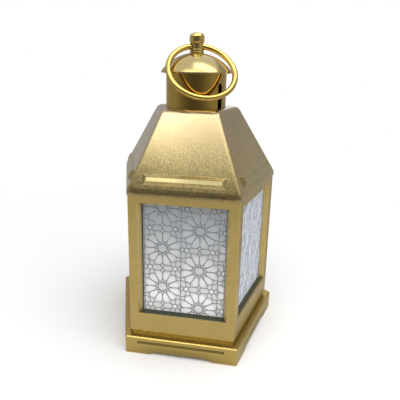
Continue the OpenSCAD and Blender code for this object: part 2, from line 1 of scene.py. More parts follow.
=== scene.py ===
"""Looks for a small five-sided gold lantern with patterned panes and a swinging ring.

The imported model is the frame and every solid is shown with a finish. Added pieces lie on it:
the pattern of each pane and the plain face of each bar on the roof. Lengths are in metres.
"""
import math

import bmesh
import bpy
from mathutils import Matrix, Vector


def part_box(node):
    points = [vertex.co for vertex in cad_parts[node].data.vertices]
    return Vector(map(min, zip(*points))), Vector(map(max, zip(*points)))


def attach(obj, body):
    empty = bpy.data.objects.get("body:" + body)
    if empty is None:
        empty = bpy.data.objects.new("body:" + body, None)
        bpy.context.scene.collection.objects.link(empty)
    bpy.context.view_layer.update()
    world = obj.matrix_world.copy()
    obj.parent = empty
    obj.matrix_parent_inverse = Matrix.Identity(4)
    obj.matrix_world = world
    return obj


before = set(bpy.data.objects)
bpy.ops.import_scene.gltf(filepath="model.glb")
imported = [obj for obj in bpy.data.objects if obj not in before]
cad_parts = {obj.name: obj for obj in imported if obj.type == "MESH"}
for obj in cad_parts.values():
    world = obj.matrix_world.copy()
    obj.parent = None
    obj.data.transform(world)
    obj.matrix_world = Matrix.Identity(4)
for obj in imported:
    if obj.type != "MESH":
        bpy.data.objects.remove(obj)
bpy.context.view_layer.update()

MM = 0.001
WHITE = (1, 1, 1, 1)

# The plan is a regular five-sided figure with one side facing -Y
SIDES = 5
SIDE_TURN = math.tau / SIDES
PANES = ("pane_front", "pane_front_right", "pane_back_right", "pane_back_left", "pane_front_left")


# Shader nodes

def new_material(name):
    """A node material, with its node tree and its Principled shader."""
    material = bpy.data.materials.new(name)
    material.use_nodes = True
    tree = material.node_tree
    return material, tree, tree.nodes["Principled BSDF"]


def set_inputs(tree, node, values):
    """Sets inputs by name or number: a socket is linked and a plain value is written."""
    for key, value in values.items():
        if isinstance(value, bpy.types.NodeSocket):
            tree.links.new(value, node.inputs[key])
        else:
            node.inputs[key].default_value = value


def add_node(tree, kind, values):
    """A new node with its inputs set."""
    node = tree.nodes.new(kind)
    set_inputs(tree, node, values)
    return node


def source_of(shader, name):
    """The socket that an input of the shader is linked to."""
    return shader.inputs[name].links[0].from_socket


def object_coords(tree, scale=1):
    """Object coordinates in metres times scale."""
    coords = tree.nodes.new("ShaderNodeTexCoord")
    values = {"Vector": coords.outputs["Object"], "Scale": (scale,) * 3}
    return add_node(tree, "ShaderNodeMapping", values).outputs["Vector"]


def axes(tree, vector):
    """The parts of a vector along X, Y and Z, by name."""
    return add_node(tree, "ShaderNodeSeparateXYZ", {"Vector": vector}).outputs


def length_of(tree, vector):
    """The length of a vector."""
    node = tree.nodes.new("ShaderNodeVectorMath")
    node.operation = "LENGTH"
    set_inputs(tree, node, {0: vector})
    return node.outputs["Value"]


def math_node(tree, operation, first, second=0):
    """The result of a math node on sockets or plain numbers."""
    node = tree.nodes.new("ShaderNodeMath")
    node.operation = operation
    set_inputs(tree, node, {0: first, 1: second})
    return node.outputs["Value"]


def map_range(tree, value, source, target, smooth=False):
    """The value carried from the range source to the range target, and held inside it."""
    node = tree.nodes.new("ShaderNodeMapRange")
    if smooth:
        node.interpolation_type = "SMOOTHSTEP"
    set_inputs(tree, node, {"Value": value, "From Min": source[0], "From Max": source[1]})
    set_inputs(tree, node, {"To Min": target[0], "To Max": target[1]})
    return node.outputs["Result"]


def mixed(tree, factor, first, second, kind="RGBA", blend="MIX"):
    """Two colours, or two numbers where kind is FLOAT, mixed by factor."""
    node = tree.nodes.new("ShaderNodeMix")
    node.data_type = kind
    node.blend_type = blend
    set_inputs(tree, node, {"Factor": factor, "A": first, "B": second})
    return node.outputs["Result"]


def mixed_shaders(tree, factor, first, second):
    """Two shaders mixed by factor."""
    values = {"Fac": factor, 1: first, 2: second}
    return add_node(tree, "ShaderNodeMixShader", values).outputs["Shader"]


def noise(tree, scale, detail, roughness=0.55):
    """Noise in the object's own coordinates."""
    node = add_node(tree, "ShaderNodeTexNoise", {"Vector": object_coords(tree), "Scale": scale})
    set_inputs(tree, node, {"Detail": detail, "Roughness": roughness})
    return node.outputs["Fac"]


def ramp(tree, value, stops):
    """A colour ramp over value, with stops of (position, colour)."""
    node = add_node(tree, "ShaderNodeValToRGB", {"Fac": value})
    elements = node.color_ramp.elements
    while len(elements) < len(stops):
        elements.new(0.5)
    for element, (position, colour) in zip(elements, stops):
        element.position = position
        element.color = (*colour, 1)
    return node.outputs["Color"]


def height_blend(tree, low, high):
    """0 below the height low and 1 above the height high, along the object's own axis."""
    return map_range(tree, axes(tree, object_coords(tree))["Z"], (low, high), (0, 1))


def angle_from_side(tree):
    """The angle in plan from the middle of the nearest side."""
    parts = axes(tree, object_coords(tree))
    angle = math_node(tree, "ARCTAN2", parts["X"], parts["Y"])
    from_front = math_node(tree, "ADD", angle, math.pi + math.tau)
    return math_node(tree, "PINGPONG", from_front, SIDE_TURN / 2)


def distance_from_axis(tree):
    """The distance in plan from the lantern's axis."""
    parts = axes(tree, object_coords(tree))
    flat = add_node(tree, "ShaderNodeCombineXYZ", {"X": parts["X"], "Y": parts["Y"]})
    return length_of(tree, flat.outputs["Vector"])


# Coats

# Where a noise has its dark and its light end
NOISE_ENDS = (0.3, 0.7)

GOLD_CLOUD_SCALE = 90
GOLD_CLOUD_DETAIL = 3
GOLD_CLOUD_TINTS = (0.95, 1.04)
GOLD_GRAIN_DETAIL = 2
GLOSS_SCALE = 400
GLOSS_DETAIL = 4
GLOSS_PARTS = (0.9, 1.1)
LACQUER_ROUGH = 0.25
PLAIN_CLOUD_SCALE = 250
PLAIN_CLOUD_DETAIL = 4
PLAIN_CLOUD_TINTS = (0.9, 1.08)
PLAIN_GRAIN_DETAIL = 3
BEVEL_SAMPLES = 6


def cloudy(tree, scale, detail, colour, parts):
    """The colour times the first to the second of two parts, in clouds."""
    colours = [tuple(channel * part for channel in colour) for part in parts]
    return ramp(tree, noise(tree, scale, detail), list(zip(NOISE_ENDS, colours)))


def bumpy(tree, shader, height, distance, edge=0.0):
    """Bumps of height, over normals that are rounded at edges by the radius edge."""
    bump = add_node(tree, "ShaderNodeBump", {"Height": height, "Strength": 1, "Distance": distance})
    if edge:
        bevel = add_node(tree, "ShaderNodeBevel", {"Radius": edge})
        bevel.samples = BEVEL_SAMPLES
        set_inputs(tree, bump, {"Normal": bevel.outputs["Normal"]})
    set_inputs(tree, shader, {"Normal": bump.outputs["Normal"]})


def metal_gold(name, colour, rough, grain, bump, coat=0.0, edge=0.15 * MM, metallic=1.0):
    """A metallised gold coat with a fine grain, slight cloudiness and a clear lacquer."""
    material, tree, shader = new_material(name)
    set_inputs(tree, shader, {
        "Base Color": cloudy(tree, GOLD_CLOUD_SCALE, GOLD_CLOUD_DETAIL, colour, GOLD_CLOUD_TINTS),
        "Metallic": metallic,
        "Roughness": cloudy(tree, GLOSS_SCALE, GLOSS_DETAIL, (rough,) * 3, GLOSS_PARTS),
        "Coat Weight": coat,
        "Coat Roughness": LACQUER_ROUGH,
    })
    bumpy(tree, shader, noise(tree, 1 / grain, GOLD_GRAIN_DETAIL), bump, edge)
    return material


def plain_coat(name, colour, rough, grain, bump, metallic=0.0):
    """A plain coat with a fine grain and slight variation."""
    material, tree, shader = new_material(name)
    set_inputs(tree, shader, {
        "Base Color": cloudy(tree, PLAIN_CLOUD_SCALE, PLAIN_CLOUD_DETAIL, colour, PLAIN_CLOUD_TINTS),
        "Roughness": rough,
        "Metallic": metallic,
    })
    bumpy(tree, shader, noise(tree, 1 / grain, PLAIN_GRAIN_DETAIL), bump)
    return material


# Gold by name: colour, roughness, size of the grain, height of its bumps, weight of the
# lacquer, radius of the soft edges, metallic part
SATIN = ((0.50, 0.375, 0.125), 0.28, 0.8 * MM, 0.0003 * MM, 0.3, 0.2 * MM, 0.85)
GOLDS = {
    "gold_satin": SATIN,
    "gold_frame": SATIN,
    "gold_plinth": ((0.50, 0.375, 0.11), 0.28, 0.8 * MM, 0.0003 * MM, 0.2, 0.1 * MM, 0.9),
    "gold_roof": ((0.49, 0.38, 0.14), 0.2, 0.6 * MM, 0.002 * MM, 0.8, 0.1 * MM, 0.95),
    # The bars' faces: the roof's gold made paler and whiter, a painted highlight
    "gold_bar_with_highlight": ((0.52, 0.44, 0.2), 0.16, 0.5 * MM, 0.002 * MM, 0.4, 0, 0.95),
    "gold_bright": ((0.50, 0.34, 0.085), 0.12, 1.5 * MM, 0.002 * MM),
    "gold_cap": ((0.47, 0.365, 0.14), 0.2, 2 * MM, 0.0003 * MM, 0.7, 0.1 * MM, 0.95),
    "gold_knob": ((0.70, 0.53, 0.17), 0.16, 2 * MM, 0.0005 * MM),
    "ring_wire": ((0.62, 0.43, 0.115), 0.16, 1.0 * MM, 0.003 * MM),
}

# Plain coats by name: colour, roughness, size of the grain, height of its bumps, metallic part
PLAINS = {
    "candle_ivory": ((0.88, 0.80, 0.62), 0.5, 0.8 * MM, 0.03 * MM),
    "flame_amber": ((0.95, 0.62, 0.2), 0.35, 0.6 * MM, 0.02 * MM),
    "lamp_resin": ((0.9, 0.88, 0.78), 0.15, 1 * MM, 0.005 * MM),
    "board_green": ((0.05, 0.25, 0.1), 0.35, 0.4 * MM, 0.01 * MM),
    "screw_steel": ((0.6, 0.6, 0.58), 0.35, 0.3 * MM, 0.01 * MM, 1),
    "holder_black": ((0.03, 0.03, 0.035), 0.45, 0.3 * MM, 0.01 * MM),
    "cell_steel": ((0.7, 0.71, 0.72), 0.25, 0.3 * MM, 0.006 * MM, 1),
    "contact_brass": ((0.78, 0.6, 0.28), 0.3, 0.3 * MM, 0.006 * MM, 1),
    "switch_case": ((0.55, 0.56, 0.57), 0.35, 0.3 * MM, 0.01 * MM, 1),
    # The dark coat of the strips at the edges of each opening: painted shadow in the gap behind the
    # frame
    "pane_gap_shadow": ((0.035, 0.03, 0.025), 0.6, 0.6 * MM, 0.01 * MM),
}

# The coat of each solid apart from the panes
COAT_OF = {
    "plinth": "gold_plinth", "body_frame": "gold_frame", "roof": "gold_roof",
    "chimney": "gold_bright", "cap": "gold_cap", "knob": "gold_knob", "ring_handle": "ring_wire",
    "base_plate": "gold_satin", "battery_cover": "gold_satin",
    "candle": "candle_ivory", "flame_cover": "flame_amber", "lamp": "lamp_resin",
    "circuit_board": "board_green", "coin_cell": "cell_steel",
    "cell_holder": "holder_black", "switch_button": "holder_black",
    "board_screws": "screw_steel", "base_screws": "screw_steel", "knob_screw": "screw_steel",
    "cell_contact_side": "contact_brass", "cell_contact_top": "contact_brass",
    "switch_housing": "switch_case",
}

# The roof: its speckle low down, the paler tint of its smooth top, which is a painted highlight, its
# lacquer, and its soft ridges by the angle in plan from the middle of a side
SPECKLE_SIZE = 0.6 * MM
SPECKLE_DETAIL = 2
SPECKLE_ROUGHNESS = 0.7
SPECKLE_TONES = ((0.36, 0.72), (0.5, 1), (0.64, 1.2))
SPECKLE_FULL = 66 * MM
SPECKLE_END = 80 * MM
ROOF_TOP_PAINTED_HIGHLIGHT = (0.88, 0.86, 1.15, 1)
ROOF_LACQUER_IOR = 1.65
ROOF_LACQUER_ROUGH = 0.2
RIDGE_ANGLES = (math.radians(32.4), math.radians(33.4))
RIDGE_RADII = (0.1 * MM, 1.5 * MM)


def speckle_roof(material):
    """Gives the roof's coat its speckle low down, a paler top as a painted highlight, a strong
    lacquer and wide soft ridges.
    """
    tree = material.node_tree
    shader = tree.nodes["Principled BSDF"]
    grain = noise(tree, 1 / SPECKLE_SIZE, SPECKLE_DETAIL, SPECKLE_ROUGHNESS)
    speckle = ramp(tree, grain, [(at, (tone,) * 3) for at, tone in SPECKLE_TONES])
    speckle_and_highlight = mixed(tree, height_blend(tree, SPECKLE_FULL, SPECKLE_END), speckle, ROOF_TOP_PAINTED_HIGHLIGHT)
    set_inputs(tree, shader, {
        "Base Color": mixed(tree, 1, source_of(shader, "Base Color"), speckle_and_highlight, blend="MULTIPLY"),
        "Coat IOR": ROOF_LACQUER_IOR,
        "Coat Roughness": ROOF_LACQUER_ROUGH,
    })
    edge = map_range(tree, angle_from_side(tree), RIDGE_ANGLES, RIDGE_RADII)
    set_inputs(tree, tree.nodes["Bevel"], {"Radius": edge})


# The windows of the body frame: the depths behind its face at which a reveal's coat is full
# and at which it ends, the heights where reveals and feet begin, and the upward part of the
# normal at which a slope begins to count as a foot and does count
BODY_REACH = -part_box("body_frame")[0].y
REVEAL_DEPTHS = (0.12 * MM, 0.06 * MM)
REVEAL_LOW = 15.4 * MM
REVEAL_BLEND = 0.1 * MM
REVEAL_METALLIC = 0.25
FOOT_LOW = 14.8 * MM
FOOT_BLEND = 0.06 * MM
FOOT_NORMALS = (0.6, 0.7)
# The colour of the painted shade on the window feet
FOOT_SHADE = (0.045, 0.05, 0.03, 1)


def light_reveals(material):
    """Makes the frame's coat less mirror-like on the splayed sides of the windows."""
    tree = material.node_tree
    shader = tree.nodes["Principled BSDF"]
    cosine = math_node(tree, "COSINE", angle_from_side(tree))
    reach = math_node(tree, "MULTIPLY", distance_from_axis(tree), cosine)
    inside = map_range(tree, reach, [BODY_REACH - depth for depth in REVEAL_DEPTHS], (1, 0))
    above = height_blend(tree, REVEAL_LOW, REVEAL_LOW + REVEAL_BLEND)
    mask = math_node(tree, "MULTIPLY", inside, above)
    metallic = (shader.inputs["Metallic"].default_value, REVEAL_METALLIC)
    set_inputs(tree, shader, {"Metallic": map_range(tree, mask, (0, 1), metallic)})


def shade_window_feet(material):
    """Paints shade on the frame's coat on the slope at the foot of each window, behind its front
    edge: a dark colour without metal or lacquer.
    """
    tree = material.node_tree
    shader = tree.nodes["Principled BSDF"]
    normal = tree.nodes.new("ShaderNodeNewGeometry").outputs["True Normal"]
    upward = map_range(tree, axes(tree, normal)["Z"], FOOT_NORMALS, (0, 1))
    behind = height_blend(tree, FOOT_LOW, FOOT_LOW + FOOT_BLEND)
    mask = math_node(tree, "MULTIPLY", upward, behind)
    outside_foot_shade = math_node(tree, "SUBTRACT", 1, mask)
    coat = shader.inputs["Coat Weight"].default_value
    set_inputs(tree, shader, {
        "Base Color": mixed(tree, mask, source_of(shader, "Base Color"), FOOT_SHADE),
        "Metallic": math_node(tree, "MULTIPLY", source_of(shader, "Metallic"), outside_foot_shade),
        "Coat Weight": map_range(tree, mask, (0, 1), (coat, 0)),
    })


# The panes: the heights between which their colour turns darker upwards as painted shade, their
# sheen and grain, and the painted veil of glare that a grazing view shows
PANE_SHADE_LOW = 22 * MM
PANE_SHADE_HIGH = 50 * MM
PANE_SHEEN_ROUGH = 0.4
PANE_GRAIN = 0.6 * MM
PANE_BUMP = 0.006 * MM
VEIL = (0.56, 0.59, 0.64, 1)
VEIL_FACINGS = (0.3, 0.5)
VEIL_MOST = 0.96

# Coats of the panes by name: colour low down, darker colour high up with painted shade, roughness
PANE_COATS = {
    "pane_sheet": ((0.67, 0.68, 0.67), (0.28, 0.30, 0.31), 0.3),
    "pane_line": ((0.26, 0.26, 0.27), (0.18, 0.19, 0.22), 0.35),
    "pane_petal": ((0.83, 0.84, 0.83), (0.31, 0.33, 0.34), 0.25),
}


def pane_coat(name, low_colour, high_colour, rough):
    """A glossy frosted sheet, lighter low down and darker high up as painted shade, with a painted
    veil of glare at a grazing view.
    """
    material, tree, shader = new_material(name)
    rising = height_blend(tree, PANE_SHADE_LOW, PANE_SHADE_HIGH)
    set_inputs(tree, shader, {
        "Base Color": ramp(tree, rising, [(0, low_colour), (1, high_colour)]),
        "Roughness": rough,
        "Sheen Weight": 1,
        "Sheen Roughness": PANE_SHEEN_ROUGH,
    })
    bumpy(tree, shader, noise(tree, 1 / PANE_GRAIN, PLAIN_GRAIN_DETAIL), PANE_BUMP)
    facing = tree.nodes.new("ShaderNodeLayerWeight").outputs["Facing"]
    veil = add_node(tree, "ShaderNodeBsdfDiffuse", {"Color": VEIL})
    veiled = map_range(tree, facing, VEIL_FACINGS, (0, VEIL_MOST))
    surface = mixed_shaders(tree, veiled, shader.outputs["BSDF"], veil.outputs["BSDF"])
    set_inputs(tree, tree.nodes["Material Output"], {"Surface": surface})
    return material


def make_coats():
    """Every coat of the lantern, by name."""
    made = {name: metal_gold(name, *values) for name, values in GOLDS.items()}
    made.update((name, plain_coat(name, *values)) for name, values in PLAINS.items())
    made.update((name, pane_coat(name, *values)) for name, values in PANE_COATS.items())
    speckle_roof(made["gold_roof"])
    light_reveals(made["gold_frame"])
    shade_window_feet(made["gold_frame"])
    return made


coats = make_coats()
for name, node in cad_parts.items():
    node.data.materials.clear()
    node.data.materials.append(coats["pane_sheet" if name in PANES else COAT_OF[name]])


# Meshes

def add_slab(mesh, under, top, slot=0):
    """A closed solid between two loops of points that match one to one."""
    low = [mesh.verts.new(point) for point in under]
    high = [mesh.verts.new(point) for point in top]
    faces = [mesh.faces.new(high), mesh.faces.new(low[::-1])]
    for i in range(len(low)):
        j = (i + 1) % len(low)
        faces.append(mesh.faces.new((low[i], low[j], high[j], high[i])))
    for face in faces:
        face.material_index = slot


def add_object(name, mesh, materials):
    """A new object in the scene with that mesh and those materials."""
    data = bpy.data.meshes.new(name)
    mesh.to_mesh(data)
    mesh.free()
    for material in materials:
        data.materials.append(material)
    added = bpy.data.objects.new(name, data)
    bpy.context.scene.collection.objects.link(added)
    return added


# Pattern of the panes

PANE_REACH = -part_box("pane_front")[0].y
OPENING_HALF = 13.95 * MM
OPENING_LOW = 15.35 * MM
OPENING_HIGH = 54.25 * MM

# The pattern repeats in upright strips, every second one half a row up. Strips and rows are
# counted from the rosette at ROSETTE_AT.
STRIP_W = 12.43 * MM
ROW_H = 14.35 * MM
ROSETTE_AT = (5.45 * MM, 31.85 * MM)
STRIPS_AROUND = ROWS_AROUND = range(-4, 5)

# One rosette: the radii of its disc, of the zigzag round it and of where its spokes end
SPOKES = 12
SPOKE_TURN = 360 / SPOKES
SPOKES_TO_AXIS = SPOKES // 4
DISC_R = 1.55 * MM
ZIGZAG_R = (2.9 * MM, 1.95 * MM)
SPOKE_R = 5.6 * MM
AXIS_SPOKE_R = 5.4 * MM
TIP_R = 6.4 * MM

# The links round a rosette: the small hubs on the edge of its row, the half width of the
# passages between rosettes, the ends of links at a hub as (across, below the edge of the
# row), and their ends on the strip's edge, up from the middle or below the edge of the row
HUB_AT = 4.3 * MM
HUB_R = 0.85 * MM
HUB_FILL_R = 0.7 * MM
PASSAGE_HALF = 0.75 * MM
LINK_FROM_AXIS = 2.9 * MM
LINK_BELOW_EDGE = 1.02 * MM
HUB_INNER = (3.55 * MM, 0.45 * MM)
HUB_UNDER = (4.35 * MM, 0.85 * MM)
HUB_OUTER = (5.1 * MM, 0.3 * MM)
STRIP_EDGE_UP = 3.9 * MM
STRIP_EDGE_BELOW = 1.4 * MM

# A raised line, half as wide at its crest as at its foot, and the shortest that is made
LINE_W = 0.36 * MM
LINE_H = 0.12 * MM
LINE_OVERLAP = LINE_W / 3
LINE_SHORTEST = 0.02 * MM

# Segments whose ends agree to that many digits are one, and a step below PARALLEL is none
SAME_DIGITS = 6
PARALLEL = 1e-12

# A petal is a drop between two radii: its half width at the belly and at the root, how far
# its belly leans outwards and how round it is
PETAL_ROOT = 2.5 * MM
PETAL_TIP = 5.75 * MM
PETAL_HALF = 0.92 * MM
PETAL_ROOT_HALF = 0.12 * MM
PETAL_LEAN = 1.6
PETAL_ROUND = 0.7
PETAL_STEPS = 8
PETAL_H = 0.05 * MM

# Strips of painted shadow on the upright edges of the opening, wide where the photo shows the gap
GAP_LEFT_W = 0.4 * MM
GAP_RIGHT_W = 0.1 * MM
GAP_H = 0.14 * MM

# How far plates are let into the pane, and a pattern's material slots with their coats
PLATE_SEAT = 0.02 * MM
LINE_SLOT, PETAL_SLOT, GAP_SHADOW_SLOT = 0, 1, 2
PATTERN_COATS = ("pane_line", "pane_petal", "pane_gap_shadow")


def polar(radius, degrees):
    """The point at that radius and angle."""
    return radius * math.cos(math.radians(degrees)), radius * math.sin(math.radians(degrees))


def closed_ring(radii, count):
    """That many points round the centre, at radii that take turns, and the first one again."""
    return [polar(radii[i % len(radii)], 360 / count * i) for i in range(count + 1)]


def moved(points, centre):
    """The points with the centre added."""
    return [(centre[0] + x, centre[1] + y) for x, y in points]


def mirrored(line):
    """A line and its images in both axes."""
    return [[(sx * x, sy * y) for x, y in line] for sx in (1, -1) for sy in (1, -1)]


def hub_rings(radius):
    """The rings round the two hubs on the upper edge of a rosette's row."""
    ring = closed_ring((radius,), SPOKES)
    return [moved(ring, (side * HUB_AT, ROW_H / 2)) for side in (1, -1)]


def link_lines():
    """The links in the upper right quarter of a rosette's field."""
    half_w, half_h = STRIP_W / 2, ROW_H / 2
    inner, under, outer = ((x, half_h - drop) for x, drop in (HUB_INNER, HUB_UNDER, HUB_OUTER))
    passage = (PASSAGE_HALF, half_h - LINK_BELOW_EDGE)
    corner = (LINK_FROM_AXIS, half_h - LINK_BELOW_EDGE)
    first, second = polar(SPOKE_R, SPOKE_TURN), polar(SPOKE_R, 2 * SPOKE_TURN)
    tip = polar(TIP_R, 1.5 * SPOKE_TURN)
    return [
        [polar(AXIS_SPOKE_R, 0), (half_w, PASSAGE_HALF)],
        [(half_w, LINK_FROM_AXIS), first, tip, second, corner],
        [polar(AXIS_SPOKE_R, SPOKES_TO_AXIS * SPOKE_TURN), passage, corner, inner],
        [passage, (0, half_h)],
        [tip, under],
        [tip, (half_w, STRIP_EDGE_UP)],
        [outer, (half_w, half_h - STRIP_EDGE_BELOW)],
        [(half_w, 0), (half_w, half_h)],
    ]


def rosette_lines():
    """The lines of one rosette and of the links round it, as lists of points."""
    lines = [closed_ring((DISC_R,), 2 * SPOKES), closed_ring(ZIGZAG_R, 2 * SPOKES)]
    for i in range(SPOKES):
        end = SPOKE_R if i % SPOKES_TO_AXIS else AXIS_SPOKE_R
        lines.append([polar(ZIGZAG_R[0], SPOKE_TURN * i), polar(end, SPOKE_TURN * i)])
    for line in link_lines():
        lines += mirrored(line)
    return lines + hub_rings(HUB_R)


def rosette_centres():
    """The centres of all rosettes that can reach the opening, strip by strip."""
    for strip in STRIPS_AROUND:
        for row in ROWS_AROUND:
            up = (row + 0.5 * (strip % 2)) * ROW_H
            yield ROSETTE_AT[0] + strip * STRIP_W, ROSETTE_AT[1] + up


def point_between(start, end, part):
    """The point at that part of the way from start to end."""
    return tuple(a + part * (b - a) for a, b in zip(start, end))


def clipped(start, end, low, high):
    """The part of the segment from start to end inside a box, or None."""
    enter, leave = 0.0, 1.0
    for axis in (0, 1):
        step = end[axis] - start[axis]
        for edge, sign in ((low[axis], -1), (high[axis], 1)):
            room = sign * (edge - start[axis])
            rate = sign * step
            if abs(rate) < PARALLEL:
                if room < 0:
                    return None
            elif rate < 0:
                enter = max(enter, room / rate)
            else:
                leave = min(leave, room / rate)
    if enter >= leave:
        return None
    return point_between(start, end, enter), point_between(start, end, leave)


def pattern_segments():
    """All segments of the pattern inside the opening, each once."""
    low = (-OPENING_HALF, OPENING_LOW)
    high = (OPENING_HALF, OPENING_HIGH)
    lines = rosette_lines()
    found = {}
    for centre in rosette_centres():
        for line in lines:
            points = moved(line, centre)
            for start, end in zip(points, points[1:]):
                cut = clipped(start, end, low, high)
                if cut:
                    ends = [tuple(round(value, SAME_DIGITS) for value in point) for point in cut]
                    found[tuple(sorted(ends))] = cut
    return list(found.values())


def petal_outline(middle):
    """A drop-shaped petal of a rosette, round its middle direction in degrees."""
    side = []
    for i in range(PETAL_STEPS + 1):
        part = i / PETAL_STEPS
        along = PETAL_ROOT + (PETAL_TIP - PETAL_ROOT) * part
        belly = PETAL_HALF * math.sin(math.pi * part ** PETAL_LEAN) ** PETAL_ROUND
        side.append((along, belly + PETAL_ROOT_HALF * (1 - part)))
    points = side + [(along, -half) for along, half in reversed(side[:-1])]
    cos, sin = math.cos(math.radians(middle)), math.sin(math.radians(middle))
    return [(x * cos - y * sin, x * sin + y * cos) for x, y in points]


def fill_outlines():
    """The bright cells of one rosette: its petals and the hubs beside it, as outlines."""
    petals = [petal_outline(SPOKE_TURN * (i + 0.5)) for i in range(SPOKES)]
    return petals + [ring[:-1] for ring in hub_rings(HUB_FILL_R)]


def held_inside(outline):
    """The outline held inside the opening, or nothing where too little of it is left."""
    held = []
    for x, z in outline:
        point = (min(max(x, -OPENING_HALF), OPENING_HALF), min(max(z, OPENING_LOW), OPENING_HIGH))
        if point not in held:
            held.append(point)
    xs, zs = zip(*held)
    if max(xs) - min(xs) < LINE_W or max(zs) - min(zs) < LINE_W:
        return []
    return held


def add_plate(mesh, outline, height, slot):
    """A thin plate of that outline on the front pane's outer face, let into it a little."""
    under = [(x, PLATE_SEAT - PANE_REACH, z) for x, z in outline]
    add_slab(mesh, under, [(x, -PANE_REACH - height, z) for x, z in outline], slot)


def add_cells(mesh):
    """Flat raised cells on the pane, cut off at the edge of the opening."""
    cells = fill_outlines()
    for centre in rosette_centres():
        for cell in cells:
            outline = held_inside(moved(cell, centre))
            if outline:
                add_plate(mesh, outline, PETAL_H, PETAL_SLOT)


def add_gap_shadow_strips(mesh):
    """Dark strips of painted shadow along both upright edges of the opening."""
    for side, width in ((-1, GAP_LEFT_W), (1, GAP_RIGHT_W)):
        inner, outer = side * (OPENING_HALF - width), side * OPENING_HALF
        outline = (
            (inner, OPENING_LOW), (outer, OPENING_LOW), (outer, OPENING_HIGH), (inner, OPENING_HIGH),
        )
        add_plate(mesh, outline, GAP_H, GAP_SHADOW_SLOT)


def add_line(mesh, first, last):
    """A raised line on the pane between two points, unless they are too near each other."""
    start = Vector((first[0], -PANE_REACH, first[1]))
    end = Vector((last[0], -PANE_REACH, last[1]))
    along = end - start
    if along.length < LINE_SHORTEST:
        return
    along.normalize()
    start -= along * LINE_OVERLAP
    end += along * LINE_OVERLAP
    side = Vector((-along.z, 0, along.x))
    rise = Vector((0, -LINE_H, 0))
    foot, crest = side * LINE_W / 2, side * LINE_W / 4
    under = (start - foot, end - foot, end + foot, start + foot)
    top = (start - crest + rise, end - crest + rise, end + crest + rise, start + crest + rise)
    add_slab(mesh, under, top, LINE_SLOT)


def pane_lines(name, turn):
    """The pattern on a pane's outer face, made on the front pane and turned to its own.

    It is one mesh of raised lines, bright cells and dark edges of painted shadow.
    """
    mesh = bmesh.new()
    add_cells(mesh)
    add_gap_shadow_strips(mesh)
    for first, last in pattern_segments():
        add_line(mesh, first, last)
    bmesh.ops.recalc_face_normals(mesh, faces=mesh.faces)
    piece = add_object(name, mesh, [coats[coat] for coat in PATTERN_COATS])
    piece.data.transform(Matrix.Rotation(turn, 4, "Z"))
    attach(piece, "lantern")


for k, pane in enumerate(PANES):
    pane_lines(pane + "_lines", k * SIDE_TURN)


# Bars

# The slope of the roof, from the top of its folded eave to its crown
EAVE_REACH = -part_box("roof")[0].y
FOLD_H = 1.3 * MM
FOLD_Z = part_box("body_frame")[1].z + FOLD_H
CROWN_REACH = 12.6 * MM
CROWN_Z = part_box("roof")[1].z

# A bar on it: its place up the slope, its width, how far its ends keep from the ridges, how
# much its bevels and rim take off the face in all, and the height of its sunk floor
BAR_UP = 2.3 * MM
BAR_W = 3.7 * MM
BAR_INSET = 4.9 * MM
BAR_FACE_IN = 2.4 * MM
BAR_FLOOR = 0.6 * MM

# The wedge in a bar: its height over the floor at its lower edge, and the depth that it is
# let into the floor, which is also its height over the floor at its upper edge
BAR_FACE_RISE = 0.09 * MM
BAR_FACE_SEAT = 0.02 * MM


def bar_face(name, turn):
    """The plain face of a bar: a thin wedge in its sunk floor, turned a little further up."""
    half = EAVE_REACH * math.tan(SIDE_TURN / 2) - BAR_INSET - BAR_FACE_IN / 2
    foot, head = BAR_UP + BAR_FACE_IN / 2, BAR_UP + BAR_W - BAR_FACE_IN / 2
    low, high = BAR_FLOOR + BAR_FACE_RISE, BAR_FLOOR + BAR_FACE_SEAT
    top = ((-half, foot, low), (half, foot, low), (half, head, high), (-half, head, high))
    under = [(x, up, BAR_FLOOR - BAR_FACE_SEAT) for x, up, _ in top]
    mesh = bmesh.new()
    add_slab(mesh, under, top)
    bmesh.ops.recalc_face_normals(mesh, faces=mesh.faces)
    piece = add_object(name, mesh, [coats["gold_bar_with_highlight"]])
    tilt = math.atan2(CROWN_Z - FOLD_Z, EAVE_REACH - CROWN_REACH)
    piece.data.transform(Matrix.Rotation(tilt, 4, "X"))
    piece.data.transform(Matrix.Translation((0, -EAVE_REACH, FOLD_Z)))
    piece.data.transform(Matrix.Rotation(turn, 4, "Z"))
    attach(piece, "lantern")


for k, pane in enumerate(PANES):
    bar_face(pane.replace("pane", "bar") + "_face", k * SIDE_TURN)


# Floor and room

FLOOR_R = 3
FLOOR_SEGMENTS = 96
FLOOR_COLOUR = (0.88, 0.88, 0.88, 1)
FLOOR_ROUGH = 0.9

# The distances at which the floor begins to turn plain white and is plain white
SHADOW_R = 0.05
PLAIN_R = 0.2

# The room: a table round the lantern's foot and a wall that is higher towards +X. Both are
# open by ROOM_GAP degrees to each side of +Y.
ROOM_R = 0.5
ROOM_HIGH = 0.42
ROOM_RISE = 0.3
ROOM_GAP = 8
ROOM_STEPS = 64
TABLE_R = 0.026
TABLE_Z = 0.2 * MM

# The room's glow: the wall's by its place along Y, and the table's near the lantern, behind it and
# at its foot, where it is darker as painted shadow. Places and radii are parts of the room's radius.
ROOM_TINT = (1, 0.95, 0.9, 1)
WALL_Y = (-1, -0.3)
WALL_TONES = (0.12, 0.42)
TABLE_RADII = (0.05 / ROOM_R, 0.72)
TABLE_Y = (-0.04, 0.08)
TABLE_LIT_AND_SHADED_TONES = (0.8, 0.42)
TABLE_FOOT_SHADOW_RADII = (0.028 / ROOM_R, 0.035 / ROOM_R)
TABLE_FOOT_SHADOW_PARTS = (0.5, 1)


def seen_directly(tree):
    """1 for camera, glossy and transmission rays, so metal and glass show the background too."""
    path = tree.nodes.new("ShaderNodeLightPath")
    total = path.outputs["Is Camera Ray"]
    for ray in ("Is Glossy Ray", "Is Transmission Ray"):
        total = math_node(tree, "MAXIMUM", total, path.outputs[ray])
    return total


